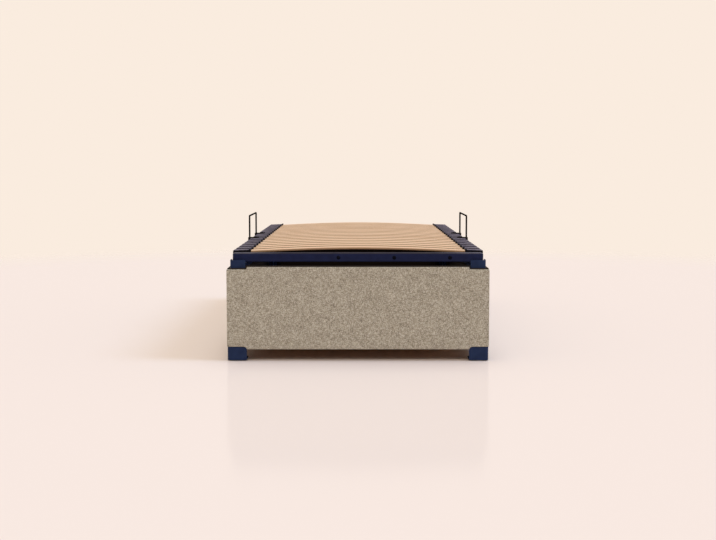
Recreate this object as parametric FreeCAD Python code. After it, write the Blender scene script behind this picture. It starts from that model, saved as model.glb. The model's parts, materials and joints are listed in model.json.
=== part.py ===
import FreeCAD, Part
import math
import os

# Storage bed base: an upholstered box with a steel skeleton and a slatted steel deck that lifts.
# Millimetres. Origin on the floor under the middle of the bed. +Z is up, the foot end faces -Y
# and the head end, where the deck is hinged, faces +Y.

# Deck frame, welded from rectangular tube
deck_length = 2000.0
deck_width = 900.0
deck_underside = 356.0
deck_tube_width = 40.0
deck_tube_height = 30.0
deck_tube_wall = 1.5
deck_tube_edge = 2.5
deck_corner_radius = 10.0
cross_tube_width = 40.0
cross_tube_height = 20.0
cross_tube_from_middle = 330.0

# Sprung slats and the plastic holders that carry their ends
slat_spacing = 111.0
slat_width = 68.0
slat_thickness = 7.0
slat_camber = 12.8
slat_edge = 2.5
first_slat_from_end = 56.0
slat_clearance = 0.2
holder_length = 62.0
holder_side_wall = 2.8
holder_end_wall = 4.0
holder_floor = 1.2
holder_roof = 1.5
holder_edge = 1.2
holder_peg_radius = 4.0
holder_peg_length = 10.0

# Wire mattress hoops and the clamps that hold their legs
hoop_wire_radius = 3.5
hoop_bend_radius = 6.0
hoop_height = 107.0
slat_count_before_hoop = 7
slat_count_in_hoop = 3
hoop_leg_below_deck = 22.0
clamp_gap = 4.5
clamp_height = 14.0
clamp_inward = 33.0
clamp_lip_height = 20.0
clamp_wall = 2.0
clamp_edge = 1.5

# Dome-head bolts of the deck
deck_bolt_head_radius = 7.0
deck_bolt_head_height = 4.0
deck_bolt_shank_radius = 3.0
deck_bolt_grip = 10.0
foot_bolt_places = (-70.0, 130.0, 330.0)

# Steel angle posts
post_width = 55.0
post_thickness = 3.0
post_bend_radius = 10.0
post_gap_side = 5.5
post_gap_end = 5.0
front_post_lap = 7.0
front_post_corner_radius = 4.0
hinge_ear_above_pin = 15.0
hinge_ear_radius = 12.0
gusset_thickness = 3.0
gusset_reach = 48.0

# Upholstered panels
board_thickness = 9.0
cover_thickness = 3.0
cover_edge = 2.5
board_above_cover = 3.0
panel_bottom = 43.0
panel_below_deck = 16.0
top_notch_depth = 9.0
top_notch_beside_post = 5.5
top_notch_radius = 9.0
notch_round_share = 0.9

# Corner feet and glides
foot_width = 69.0
foot_wall = 10.5
foot_lap = 7.0
foot_bend_radius = 10.0
foot_corner_radius = 12.0
foot_base_thickness = 5.0
foot_gap = 1.2
glide_radius = 14.0
glide_height = 3.0
glide_peg_radius = 3.0

# Rails of the box and its floor
rail_size = 25.0
rail_wall = 1.5
rail_edge = 2.0
upper_rail_below_panel = 10.0
lower_rail_bottom = 55.0
floor_board_count = 4
floor_board_thickness = 6.0
floor_board_lap = 16.0
floor_board_gap = 2.0

# Fasteners of the box
frame_bolt_radius = 4.0
frame_bolt_head_radius = 6.5
frame_bolt_head_height = 4.0
screw_radius = 2.5
screw_head_radius = 5.0
screw_head_height = 3.0
screw_tip_cover = 3.0
screw_from_rail = 45.0

# Hinge of the deck
hinge_from_end = 15.0
hinge_pin_radius = 6.0
hinge_head_radius = 10.0
hinge_head_height = 5.0
hinge_bush_radius = 9.0
hinge_nut_height = 8.0
hinge_pin_tail = 1.0
hinge_nut_radius = 11.0

# Gas struts
strut_base_from_hinge = 167.5
strut_above_floor = 7.0
strut_from_rail = 14.0
strut_eye_radius = 10.0
strut_eye_width = 12.0
strut_stud_radius = 5.0
strut_collar_radius = 8.0
strut_rivet_radius = 7.0
strut_rivet_height = 2.5
strut_cylinder_radius = 11.0
strut_cylinder_wall = 1.5
strut_closed_gap = 20.0
strut_guide_length = 18.0
strut_base_length = 12.0
strut_rod_radius = 5.0
strut_neck_radius = 6.0
strut_piston_length = 14.0
strut_piston_from_base = 4.0
strut_plate_width = 70.0
strut_plate_thickness = 4.0

# Rests of the closed deck
corner_pad_size = 30.0
corner_pad_thickness = 6.0
side_pad_length = 40.0
side_pad_width = 18.0
side_pad_from_middle = 420.0

# Clearances, the least bend of a plate, and how far a cutting tool runs past what it cuts
running_clearance = 0.05
seat_clearance = 0.1
face_clearance = 0.4
least_bend = 0.5
overrun = 1.0
same_place = 0.01

# Worked-out places
vector = FreeCAD.Vector
half_length = deck_length / 2
half_width = deck_width / 2
deck_top = deck_underside + deck_tube_height
rail_inside = half_width - deck_tube_width
post_inside_x = half_width + post_gap_side
post_inside_y = half_length + post_gap_end
post_outside_x = post_inside_x + post_thickness
post_outside_y = post_inside_y + post_thickness
panel_thickness = board_thickness + cover_thickness
panel_top = deck_underside - panel_below_deck
panel_outside_x = post_outside_x + panel_thickness
panel_outside_y = post_outside_y + panel_thickness
foot_bottom = glide_height
foot_height = panel_bottom + foot_lap
post_bottom = foot_bottom + foot_base_thickness
upper_rail_top = panel_top - upper_rail_below_panel
upper_rail_bottom = upper_rail_top - rail_size
lower_rail_top = lower_rail_bottom + rail_size
floor_top = lower_rail_top + floor_board_thickness
screw_heights = (lower_rail_top + screw_from_rail, upper_rail_bottom - screw_from_rail)
rail_inside_x = post_inside_x - rail_size
rail_inside_y = post_inside_y - rail_size
hinge_y = half_length - hinge_from_end
hinge_z = deck_underside + deck_tube_height / 2
hinge_ear_top = hinge_z + hinge_ear_above_pin
front_post_top = deck_underside + front_post_lap
screw_bite = board_thickness - screw_tip_cover
strut_x = rail_inside - strut_from_rail
# Both pivots of a strut are equally far from the hinge, so it turns by half the angle of the deck
strut_low_y = hinge_y - strut_base_from_hinge
strut_low_z = floor_top + strut_eye_radius + strut_above_floor
strut_arm = math.hypot(hinge_y - strut_low_y, hinge_z - strut_low_z)
strut_high_y = hinge_y - strut_arm
strut_rest_length = math.hypot(strut_low_y - strut_high_y, hinge_z - strut_low_z)
slat_run = deck_length - 2 * first_slat_from_end
slat_count = 1 + round(slat_run / slat_spacing)
slat_pitch = slat_run / (slat_count - 1)
slat_half = half_width - holder_end_wall - slat_clearance
slat_bottom = deck_top + holder_floor
holder_width = slat_width + 2 * (holder_side_wall + slat_clearance)
clamp_width = slat_pitch - holder_width - 2 * clamp_gap
hoop_x = half_width + clamp_wall + hoop_wire_radius
hoop_top = deck_top + hoop_height
hoop_leg_bottom = deck_top - hoop_leg_below_deck
clamp_outside = hoop_x + hoop_wire_radius + clamp_wall
slat_places = [first_slat_from_end - half_length + slat_pitch * i for i in range(slat_count)]
hoop_start = slat_places[round(slat_count_before_hoop)] - slat_pitch / 2
hoop_places = [hoop_start, hoop_start + slat_pitch * slat_count_in_hoop]

pieces = {}


def keep(name, *solids):
    shape = solids[0] if len(solids) == 1 else Part.makeCompound(list(solids))
    pieces[name] = shape


def block(x0, x1, y0, y1, z0, z1):
    return Part.makeBox(x1 - x0, y1 - y0, z1 - z0, vector(x0, y0, z0))


def bar(start, end, radius):
    run = end - start
    return Part.makeCylinder(radius, run.Length, start, run)


def left_right(shape):
    return shape.mirror(vector(0, 0, 0), vector(1, 0, 0))


def foot_head(shape):
    return shape.mirror(vector(0, 0, 0), vector(0, 1, 0))


def four_corners(shape):
    pair = [shape, left_right(shape)]
    return pair + [foot_head(one) for one in pair]


def round_edges(shape, radius, wanted):
    edges = [edge for edge in shape.Edges if wanted(edge)]
    return shape.makeFillet(radius, edges)


def runs_along(edge, axis):
    ends = [vertex.Point for vertex in edge.Vertexes]
    if len(ends) < 2 or not isinstance(edge.Curve, Part.Line):
        return False
    run = (ends[1] - ends[0]).normalize()
    return abs(run.dot(axis)) > 0.999


def face_of(edges):
    return Part.Face(Part.Wire(Part.__sortEdges__(edges)))


def line(start, end):
    return Part.LineSegment(start, end).toShape()


def arc(start, through, end):
    return Part.Arc(start, through, end).toShape()


along_x = vector(1, 0, 0)
along_y = vector(0, 1, 0)
along_z = vector(0, 0, 1)


def square_tube(x0, x1, y0, y1, z0, z1, axis, wall, edge):
    solid = round_edges(block(x0, x1, y0, y1, z0, z1), edge, lambda e: runs_along(e, axis))
    room = [wall if axis[i] == 0 else 0 for i in range(3)]
    bore = block(x0 + room[0], x1 - room[0], y0 + room[1], y1 - room[1], z0 + room[2], z1 - room[2])
    return solid.cut(bore)


def dome_bolt(place, outward, head_radius, head_height, shank_radius, shank_length):
    # A low dome on a cylindrical shank, turned about its own axis and then aimed outward
    rim = vector(head_radius, 0, 0)
    crown = vector(0, 0, head_height)
    ball = (head_radius ** 2 + head_height ** 2) / (2 * head_height)
    middle = vector(ball * math.sin(math.asin(head_radius / ball) / 2), 0, 0)
    middle.z = head_height - ball + math.sqrt(ball ** 2 - middle.x ** 2)
    half = face_of([line(vector(0, 0, 0), rim), arc(rim, middle, crown), line(crown, vector(0, 0, 0))])
    head = half.revolve(vector(0, 0, 0), along_z, 360)
    bolt = head.fuse(bar(vector(0, 0, 0), vector(0, 0, -shank_length), shank_radius))
    turn = FreeCAD.Rotation(along_z, outward)
    bolt.Placement = FreeCAD.Placement(place, turn)
    return bolt


def angle_face(width, thickness, bend_radius, outer_x, outer_y, z):
    # Bent angle at the front left corner, with its outer faces at -outer_x and -outer_y
    def at(u, v):
        return vector(u - outer_x, v - outer_y, z)

    inner_radius = max(bend_radius - thickness, least_bend)
    inner = thickness + inner_radius
    bend_mid = bend_radius * (1 - math.sqrt(0.5))
    inner_mid = thickness + inner_radius * (1 - math.sqrt(0.5))
    return face_of([
        line(at(bend_radius, 0), at(width, 0)),
        line(at(width, 0), at(width, thickness)),
        line(at(width, thickness), at(inner, thickness)),
        arc(at(inner, thickness), at(inner_mid, inner_mid), at(thickness, inner)),
        line(at(thickness, inner), at(thickness, width)),
        line(at(thickness, width), at(0, width)),
        line(at(0, width), at(0, bend_radius)),
        arc(at(0, bend_radius), at(bend_mid, bend_mid), at(bend_radius, 0)),
    ])


def make_feet():
    outer_x = post_outside_x + foot_wall
    outer_y = post_outside_y + foot_wall
    walls = angle_face(foot_width, foot_wall, foot_bend_radius, outer_x, outer_y, foot_bottom)
    shoe = walls.extrude(vector(0, 0, foot_height - foot_bottom))

    def top_corner(edge):
        spot = edge.CenterOfMass
        at_x_end = abs(spot.x - foot_width + outer_x) < same_place and runs_along(edge, along_y)
        at_y_end = abs(spot.y - foot_width + outer_y) < same_place and runs_along(edge, along_x)
        return abs(spot.z - foot_height) < same_place and (at_x_end or at_y_end)

    shoe = round_edges(shoe, foot_corner_radius, top_corner)
    inside = foot_width - foot_wall
    base = block(-post_outside_x, inside - post_outside_x, -post_outside_y, inside - post_outside_y,
                 foot_bottom, post_bottom)
    shoe = shoe.fuse(base).removeSplitter()
    glide_x = foot_width / 2 - outer_x
    glide_y = foot_width / 2 - outer_y
    floor_spot = vector(glide_x, glide_y, 0)
    peg_top = vector(glide_x, glide_y, post_bottom)
    shoe = shoe.cut(bar(floor_spot, peg_top, glide_peg_radius + seat_clearance))
    disc = bar(floor_spot, vector(glide_x, glide_y, glide_height), glide_radius)
    disc = round_edges(disc, glide_height / 3, lambda e: e.CenterOfMass.z < same_place and e.Closed)
    glide = disc.fuse(bar(floor_spot, peg_top, glide_peg_radius)).removeSplitter()
    keep("corner_feet", *four_corners(shoe))
    keep("foot_glides", *four_corners(glide))


def screw_places():
    # One screw through each wing of a front left post at every screw height
    wing = post_width / 2
    places = []
    for z in screw_heights:
        places.append((vector(wing - post_outside_x, -post_inside_y, z), along_y))
        places.append((vector(-post_inside_x, wing - post_outside_y, z), along_x))
    return places


def frame_bolt_places():
    # Bolts from inside the box through a rail's two walls into the post wing behind it
    free_x = post_width - frame_bolt_head_radius - seat_clearance
    side_y = -rail_inside_y + frame_bolt_head_radius + seat_clearance
    places = []
    for low in (lower_rail_bottom, upper_rail_bottom):
        z = low + rail_size / 2
        places.append((vector(free_x - post_outside_x, -rail_inside_y, z), along_y))
        places.append((vector(-rail_inside_x, side_y, z), along_x))
    return places


def headed(place, inward, head_radius, head_height, radius, length):
    head = bar(place, place + inward * head_height, head_radius)
    shank = bar(place, place - inward * length, radius)
    return head.fuse(shank)


def post_holes(post):
    for place, inward in screw_places():
        reach = place - inward * (post_thickness + overrun)
        post = post.cut(bar(place + inward * overrun, reach, screw_radius + seat_clearance))
    for place, inward in frame_bolt_places():
        reach = place - inward * (rail_size + post_thickness + overrun)
        post = post.cut(bar(place, reach, frame_bolt_radius + seat_clearance))
    return post


def make_posts():
    profile = angle_face(post_width, post_thickness, post_bend_radius, post_outside_x, post_outside_y,
                         post_bottom)
    front = profile.extrude(vector(0, 0, front_post_top - post_bottom))

    def front_corner(edge):
        spot = edge.CenterOfMass
        at_x_end = abs(spot.x - post_width + post_outside_x) < same_place and runs_along(edge, along_y)
        at_y_end = abs(spot.y - post_width + post_outside_y) < same_place and runs_along(edge, along_x)
        return abs(spot.z - front_post_top) < same_place and (at_x_end or at_y_end)

    front = round_edges(front, front_post_corner_radius, front_corner)
    pad_seat = deck_underside - corner_pad_thickness
    bend_room = max(post_bend_radius - post_thickness, least_bend)
    gusset = block(-post_inside_x, gusset_reach - post_inside_x, bend_room - post_inside_y,
                   gusset_reach - post_inside_y, pad_seat - gusset_thickness, pad_seat)
    front = post_holes(front.fuse(gusset).removeSplitter())
    keep("front_left_post", front)
    keep("front_right_post", left_right(front))

    rear = profile.extrude(vector(0, 0, panel_top - post_bottom))
    ear = block(-post_outside_x, -post_inside_x, post_bend_radius - post_outside_y,
                post_width - post_outside_y, panel_top - post_bend_radius, hinge_ear_top)

    def ear_corner(edge):
        return runs_along(edge, along_x) and abs(edge.CenterOfMass.z - hinge_ear_top) < same_place

    ear = round_edges(ear, hinge_ear_radius, ear_corner)
    pin_spot = vector(-post_outside_x, -hinge_y, hinge_z)
    hole = bar(pin_spot - along_x * overrun, pin_spot + along_x * (post_thickness + overrun),
               hinge_pin_radius + seat_clearance)
    rear = post_holes(rear.fuse(ear).removeSplitter().cut(hole))
    rear = foot_head(rear)
    keep("rear_left_post", rear)
    keep("rear_right_post", left_right(rear))


def panel_face(half_span, corner, inset, rise, at, raised):
    # Outline of a panel, seen square on, with two notches for the feet below. A raised panel stands
    # higher between the posts, and the others are level. The corner of the box lies at the distance
    # corner from the middle of the panel. The sides and the bottom lie inset behind the full outline,
    # and the top stands above it by rise.
    low = panel_bottom + inset
    high = panel_top + rise
    side = half_span - inset
    top_step = corner - panel_thickness - post_width - top_notch_beside_post + rise
    top_low = high - top_notch_depth
    top_round = max(min(top_notch_radius, notch_round_share * top_notch_depth) - rise, least_bend)
    foot_end = corner - panel_thickness + foot_wall - foot_width
    bottom_step = foot_end - foot_gap - inset
    bottom_high = foot_height + foot_gap + inset
    bottom_round = min(foot_corner_radius, notch_round_share * (bottom_high - low))
    slack = 1 - math.sqrt(0.5)

    def half_outline(sign):
        # The inner corner of each notch is rounded, so that the cloth can turn there
        rim = [line(at(0, top_low), at(sign * side, top_low))]
        if raised:
            rim = [
                line(at(0, high), at(sign * top_step, high)),
                line(at(sign * top_step, high), at(sign * top_step, top_low + top_round)),
                arc(at(sign * top_step, top_low + top_round),
                    at(sign * (top_step + slack * top_round), top_low + slack * top_round),
                    at(sign * (top_step + top_round), top_low)),
                line(at(sign * (top_step + top_round), top_low), at(sign * side, top_low)),
            ]
        return rim + [
            line(at(sign * side, top_low), at(sign * side, bottom_high)),
            line(at(sign * side, bottom_high), at(sign * (bottom_step + bottom_round), bottom_high)),
            arc(at(sign * (bottom_step + bottom_round), bottom_high),
                at(sign * (bottom_step + slack * bottom_round), bottom_high - slack * bottom_round),
                at(sign * bottom_step, bottom_high - bottom_round)),
            line(at(sign * bottom_step, bottom_high - bottom_round), at(sign * bottom_step, low)),
            line(at(sign * bottom_step, low), at(0, low)),
        ]

    return face_of(half_outline(1) + half_outline(-1))


def make_panel(half_span, corner, place, outward, raised):
    # The cover wraps the board's outer face, its ends and its lower edge, and ends level with its back.
    # At the top the board stands bare above the cover.
    wrapped = panel_face(half_span, corner, 0, 0, place, raised).extrude(outward * panel_thickness)
    front = place(0, 0).dot(outward) + panel_thickness

    def front_rim(edge):
        return all(abs(v.Point.dot(outward) - front) < same_place for v in edge.Vertexes)

    wrapped = round_edges(wrapped, cover_edge, front_rim)
    board = panel_face(half_span, corner, cover_thickness, board_above_cover, place, raised)
    board = board.extrude(outward * board_thickness)
    cover = wrapped.cut(board)
    return board, cover


def make_panels():
    def foot_place(u, z):
        return vector(u, -post_outside_y, z)

    def side_place(u, z):
        return vector(-post_outside_x, u, z)

    foot_board, foot_cover = make_panel(panel_outside_x, panel_outside_x, foot_place, -along_y, True)
    left_board, left_cover = make_panel(post_outside_y, panel_outside_y, side_place, -along_x, False)
    for place, inward in screw_places():
        tip = place - inward * (post_thickness + screw_bite)
        hole = bar(place, tip, screw_radius + seat_clearance)
        if inward == along_y:
            foot_board = foot_board.cut(hole).cut(left_right(hole))
        else:
            left_board = left_board.cut(hole).cut(foot_head(hole))
    keep("foot_board", foot_board)
    keep("foot_cover", foot_cover)
    keep("head_board", foot_head(foot_board))
    keep("head_cover", foot_head(foot_cover))
    keep("left_board", left_board)
    keep("left_cover", left_cover)
    keep("right_board", left_right(left_board))
    keep("right_cover", left_right(left_cover))


def make_box_rails():
    bend_room = max(post_bend_radius - post_thickness, least_bend) + seat_clearance
    end_x = post_inside_x - bend_room
    for name, low in (("lower_rails", lower_rail_bottom), ("upper_rails", upper_rail_bottom)):
        high = low + rail_size
        cross = square_tube(-end_x, end_x, -post_inside_y, -rail_inside_y, low, high,
                            along_x, rail_wall, rail_edge)
        side = square_tube(-post_inside_x, -rail_inside_x, -rail_inside_y, rail_inside_y, low, high,
                           along_y, rail_wall, rail_edge)
        for place, inward in frame_bolt_places():
            hole = bar(place + inward * overrun, place - inward * (rail_size + overrun),
                       frame_bolt_radius + seat_clearance)
            if inward == along_y:
                cross = cross.cut(hole).cut(left_right(hole))
            else:
                side = side.cut(hole).cut(foot_head(hole))
        keep(name, cross, foot_head(cross), side, left_right(side))


def make_floor():
    # Each joint between two floor boards lies over the middle of a bearer
    reach_x = rail_inside_x + floor_board_lap
    reach_y = rail_inside_y + floor_board_lap
    board_step = (2 * reach_y + floor_board_gap) / floor_board_count
    board_length = board_step - floor_board_gap
    bearers = []
    for i in range(1, floor_board_count):
        middle = board_step * i - floor_board_gap / 2 - reach_y
        bearers.append(square_tube(-rail_inside_x, rail_inside_x, middle - rail_size / 2,
                                   middle + rail_size / 2, lower_rail_bottom, lower_rail_top,
                                   along_x, rail_wall, rail_edge))
    keep("floor_bearers", *bearers)

    plate_room = block(-reach_x, face_clearance - rail_inside_x + strut_plate_thickness,
                       strut_low_y - strut_plate_width / 2 - face_clearance,
                       strut_low_y + strut_plate_width / 2 + face_clearance, 0, deck_underside)
    boards = []
    for i in range(floor_board_count):
        start = i * board_step - reach_y
        board = block(-reach_x, reach_x, start, start + board_length,
                      lower_rail_top, floor_top)
        boards.append(board.cut(plate_room).cut(left_right(plate_room)))
    keep("floor_boards", *boards)


def make_box_fasteners():
    screws = []
    for place, inward in screw_places():
        length = post_thickness + screw_bite
        screw = headed(place, inward, screw_head_radius, screw_head_height, screw_radius, length)
        screws += four_corners(screw)
    keep("panel_screws", *screws)
    bolts = []
    for place, inward in frame_bolt_places():
        length = rail_size + post_thickness
        bolt = headed(place, inward, frame_bolt_head_radius, frame_bolt_head_height,
                      frame_bolt_radius, length)
        bolts += four_corners(bolt)
    keep("frame_bolts", *bolts)


def make_rest_pads():
    seat = deck_underside - corner_pad_thickness
    inset = (gusset_reach - corner_pad_size) / 2
    low_x = inset - post_inside_x
    low_y = inset - post_inside_y
    corner = block(low_x, low_x + corner_pad_size, low_y, low_y + corner_pad_size, seat, deck_underside)
    pads = [corner, left_right(corner)]
    middle = (half_width + rail_inside_x) / 2
    side = block(-middle - side_pad_width / 2, side_pad_width / 2 - middle,
                 -side_pad_from_middle - side_pad_length / 2, side_pad_length / 2 - side_pad_from_middle,
                 upper_rail_top, deck_underside)
    pads += four_corners(side)
    keep("deck_rest_pads", *pads)


def make_deck_frame():
    # The foot rail is mitred to the side rails; the head rail butts between them
    def frame_face(inset, z):
        out_x = half_width - inset
        out_y = half_length - inset
        in_x = rail_inside + inset
        in_y = half_length - deck_tube_width + inset
        turn = max(deck_corner_radius - inset, least_bend)
        slack = turn * (1 - math.sqrt(0.5))

        def at(x, y):
            return vector(x, y, z)

        return face_of([
            line(at(-out_x, out_y), at(-out_x, turn - out_y)),
            arc(at(-out_x, turn - out_y), at(slack - out_x, slack - out_y), at(turn - out_x, -out_y)),
            line(at(turn - out_x, -out_y), at(out_x - turn, -out_y)),
            arc(at(out_x - turn, -out_y), at(out_x - slack, slack - out_y), at(out_x, turn - out_y)),
            line(at(out_x, turn - out_y), at(out_x, out_y)),
            line(at(out_x, out_y), at(in_x, out_y)),
            line(at(in_x, out_y), at(in_x, -in_y)),
            line(at(in_x, -in_y), at(-in_x, -in_y)),
            line(at(-in_x, -in_y), at(-in_x, out_y)),
            line(at(-in_x, out_y), at(-out_x, out_y)),
        ])

    outer = frame_face(0, deck_underside).extrude(vector(0, 0, deck_tube_height))

    def long_edge(edge):
        spots = [vertex.Point for vertex in edge.Vertexes]
        flat = abs(spots[0].z - spots[1].z) < same_place
        return flat and any(spot.y < half_length - same_place for spot in spots)

    outer = round_edges(outer, deck_tube_edge, long_edge)
    hollow = frame_face(deck_tube_wall, deck_underside + deck_tube_wall)
    frame = outer.cut(hollow.extrude(vector(0, 0, deck_tube_height - 2 * deck_tube_wall)))

    inner_y = deck_tube_width - half_length
    wedge_outline = Part.makePolygon([
        vector(-half_width, -half_length, 0),
        vector(half_width, -half_length, 0),
        vector(rail_inside, inner_y, 0),
        vector(-rail_inside, inner_y, 0),
        vector(-half_width, -half_length, 0),
    ])
    wedge = Part.Face(wedge_outline).extrude(vector(0, 0, 2 * deck_top))
    foot_rail = frame.common(wedge)
    for x in foot_bolt_places:
        spot = vector(x, -half_length, hinge_z)
        foot_rail = foot_rail.cut(bar(spot - along_y * overrun, spot + along_y * (deck_tube_wall + overrun),
                                      deck_bolt_shank_radius + seat_clearance))
    keep("deck_foot_rail", foot_rail)

    left_half = block(-half_width - overrun, 0, -half_length - overrun, half_length + overrun,
                      0, 2 * deck_top)
    left_rail = frame.cut(wedge).common(left_half)
    for y in slat_places:
        peg_spot = vector(deck_tube_width / 2 - half_width, y, deck_top)
        peg_hole = bar(peg_spot + along_z * overrun, peg_spot - along_z * (deck_tube_wall + overrun),
                       holder_peg_radius + seat_clearance)
        left_rail = left_rail.cut(peg_hole)
    for y in hoop_places:
        bolt_spot = vector(deck_tube_width / 2 - half_width, y, deck_top)
        bolt_hole = bar(bolt_spot + along_z * overrun, bolt_spot - along_z * (deck_tube_wall + overrun),
                        deck_bolt_shank_radius + seat_clearance)
        left_rail = left_rail.cut(bolt_hole)
    pin_start = vector(-half_width - overrun, hinge_y, hinge_z)
    pin_end = vector(overrun - rail_inside, hinge_y, hinge_z)
    left_rail = left_rail.cut(bar(pin_start, pin_end, hinge_bush_radius + seat_clearance))
    stud_start = vector(-rail_inside - deck_tube_wall - overrun, strut_high_y, hinge_z)
    stud_end = vector(overrun - rail_inside, strut_high_y, hinge_z)
    left_rail = left_rail.cut(bar(stud_start, stud_end, strut_stud_radius + seat_clearance))
    keep("deck_left_rail", left_rail)
    keep("deck_right_rail", left_right(left_rail))

    head_rail = square_tube(-rail_inside, rail_inside, half_length - deck_tube_width, half_length,
                            deck_underside, deck_top, along_x, deck_tube_wall, deck_tube_edge)
    keep("deck_head_rail", head_rail)
    cross = square_tube(-rail_inside, rail_inside, cross_tube_from_middle - cross_tube_width / 2,
                        cross_tube_from_middle + cross_tube_width / 2, deck_underside,
                        deck_underside + cross_tube_height, along_x, deck_tube_wall, deck_tube_edge)
    keep("deck_cross_tubes", cross, foot_head(cross))


def slat_solid(clearance):
    # A strip bent to a shallow arch across the bed, centred on the middle of the bed
    reach = slat_half + clearance
    low = slat_bottom - clearance
    high = low + slat_thickness + 2 * clearance
    half_strip = slat_width / 2 + clearance

    def at(x, z):
        return vector(x, -half_strip, z)

    side = face_of([
        arc(at(-reach, low), at(0, low + slat_camber), at(reach, low)),
        line(at(reach, low), at(reach, high)),
        arc(at(reach, high), at(0, high + slat_camber), at(-reach, high)),
        line(at(-reach, high), at(-reach, low)),
    ])
    return side.extrude(vector(0, 2 * half_strip, 0))


def slat_rise(x):
    return slat_camber * (1 - (x / slat_half) ** 2)


def make_slats():
    strip = round_edges(slat_solid(0), slat_edge, lambda e: isinstance(e.Curve, Part.Circle))
    for i, y in enumerate(slat_places):
        slat = strip.copy()
        slat.translate(vector(0, y, 0))
        keep("slat_%02d" % (i + 1), slat)


def make_holders():
    # A cap with a sloping roof, closed at the outer end, over the end of a slat
    inner = holder_length - half_width
    outer_top = slat_bottom + slat_thickness + holder_roof
    inner_top = outer_top + slat_rise(inner)

    def at(x, z):
        return vector(x, -holder_width / 2, z)

    side = face_of([
        line(at(-half_width, deck_top), at(inner, deck_top)),
        line(at(inner, deck_top), at(inner, inner_top)),
        line(at(inner, inner_top), at(-half_width, outer_top)),
        line(at(-half_width, outer_top), at(-half_width, deck_top)),
    ])
    cap = side.extrude(vector(0, holder_width, 0))

    def roof_edge(edge):
        return edge.CenterOfMass.z > outer_top - same_place and edge.CenterOfMass.x < inner - same_place

    cap = round_edges(cap, holder_edge, roof_edge)
    cap = cap.cut(slat_solid(slat_clearance))
    peg_spot = vector(deck_tube_width / 2 - half_width, 0, deck_top)
    cap = cap.fuse(bar(peg_spot, peg_spot - along_z * holder_peg_length, holder_peg_radius))
    row = []
    for y in slat_places:
        holder = cap.copy()
        holder.translate(vector(0, y, 0))
        row.append(holder)
    keep("left_slat_holders", *row)
    keep("right_slat_holders", *[left_right(holder) for holder in row])


def make_hoops():
    bend = hoop_bend_radius
    slack = bend * (1 - math.sqrt(0.5))
    top = hoop_top - hoop_wire_radius
    near, far = hoop_places

    def at(y, z):
        return vector(-hoop_x, y, z)

    path = Part.Wire([
        line(at(near, hoop_leg_bottom), at(near, top - bend)),
        arc(at(near, top - bend), at(near + slack, top - slack), at(near + bend, top)),
        line(at(near + bend, top), at(far - bend, top)),
        arc(at(far - bend, top), at(far - slack, top - slack), at(far, top - bend)),
        line(at(far, top - bend), at(far, hoop_leg_bottom)),
    ])
    start = at(near, hoop_leg_bottom)
    section = Part.Wire([Part.makeCircle(hoop_wire_radius, start, along_z)])
    hoop = path.makePipeShell([section], True, True)
    keep("left_mattress_hoop", hoop)
    keep("right_mattress_hoop", left_right(hoop))

    clamps = []
    for y in hoop_places:
        top_block = block(-clamp_outside, clamp_inward - half_width, y - clamp_width / 2,
                          y + clamp_width / 2, deck_top, deck_top + clamp_height)
        lip = block(-clamp_outside, -half_width, y - clamp_width / 2, y + clamp_width / 2,
                    deck_top - clamp_lip_height, deck_top)
        clamp = top_block.fuse(lip).removeSplitter()
        clamp = round_edges(clamp, clamp_edge,
                            lambda e: abs(e.CenterOfMass.z - deck_top - clamp_height) < same_place)
        bore = bar(vector(-hoop_x, y, 0), vector(-hoop_x, y, hoop_top), hoop_wire_radius + seat_clearance)
        bolt_spot = vector(deck_tube_width / 2 - half_width, y, deck_top)
        bolt_hole = bar(bolt_spot, bolt_spot + along_z * (clamp_height + overrun),
                        deck_bolt_shank_radius + seat_clearance)
        clamps.append(clamp.cut(bore).cut(bolt_hole))
    keep("hoop_clamps", *clamps, *[left_right(clamp) for clamp in clamps])


def make_deck_bolts():
    bolts = []
    for x in foot_bolt_places:
        bolts.append(dome_bolt(vector(x, -half_length, hinge_z), -along_y, deck_bolt_head_radius,
                               deck_bolt_head_height, deck_bolt_shank_radius, deck_bolt_grip))
    for y in hoop_places:
        spot = vector(deck_tube_width / 2 - half_width, y, deck_top + clamp_height)
        bolt = dome_bolt(spot, along_z, deck_bolt_head_radius, deck_bolt_head_height,
                         deck_bolt_shank_radius, clamp_height + deck_bolt_grip)
        bolts += [bolt, left_right(bolt)]
    keep("deck_bolts", *bolts)


def make_hinge():
    def on_axis(x):
        return vector(-x, hinge_y, hinge_z)

    bore_radius = hinge_pin_radius + running_clearance
    nut_outside = rail_inside - face_clearance
    nut_inside = nut_outside - hinge_nut_height
    head = bar(on_axis(post_outside_x), on_axis(post_outside_x + hinge_head_height), hinge_head_radius)
    pin = head.fuse(bar(on_axis(post_outside_x), on_axis(nut_inside - hinge_pin_tail), hinge_pin_radius))
    keep("hinge_pins", pin, left_right(pin))

    corners = [vector(-nut_inside, hinge_y + hinge_nut_radius * math.cos(math.radians(60 * i)),
                      hinge_z + hinge_nut_radius * math.sin(math.radians(60 * i))) for i in range(7)]
    hexagon = Part.Face(Part.makePolygon(corners))
    nut = hexagon.extrude(vector(-hinge_nut_height, 0, 0))
    nut = nut.cut(bar(on_axis(nut_inside - overrun), on_axis(nut_outside + overrun), bore_radius))
    keep("hinge_nuts", nut, left_right(nut))

    washer = bar(on_axis(half_width + face_clearance), on_axis(post_inside_x), hinge_head_radius)
    washer = washer.cut(bar(on_axis(half_width), on_axis(post_inside_x + overrun), bore_radius))
    keep("hinge_washers", washer, left_right(washer))

    bush = bar(on_axis(rail_inside), on_axis(half_width), hinge_bush_radius)
    bush = bush.cut(bar(on_axis(rail_inside - overrun), on_axis(half_width + overrun), bore_radius))
    keep("hinge_bushes", bush, left_right(bush))


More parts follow.
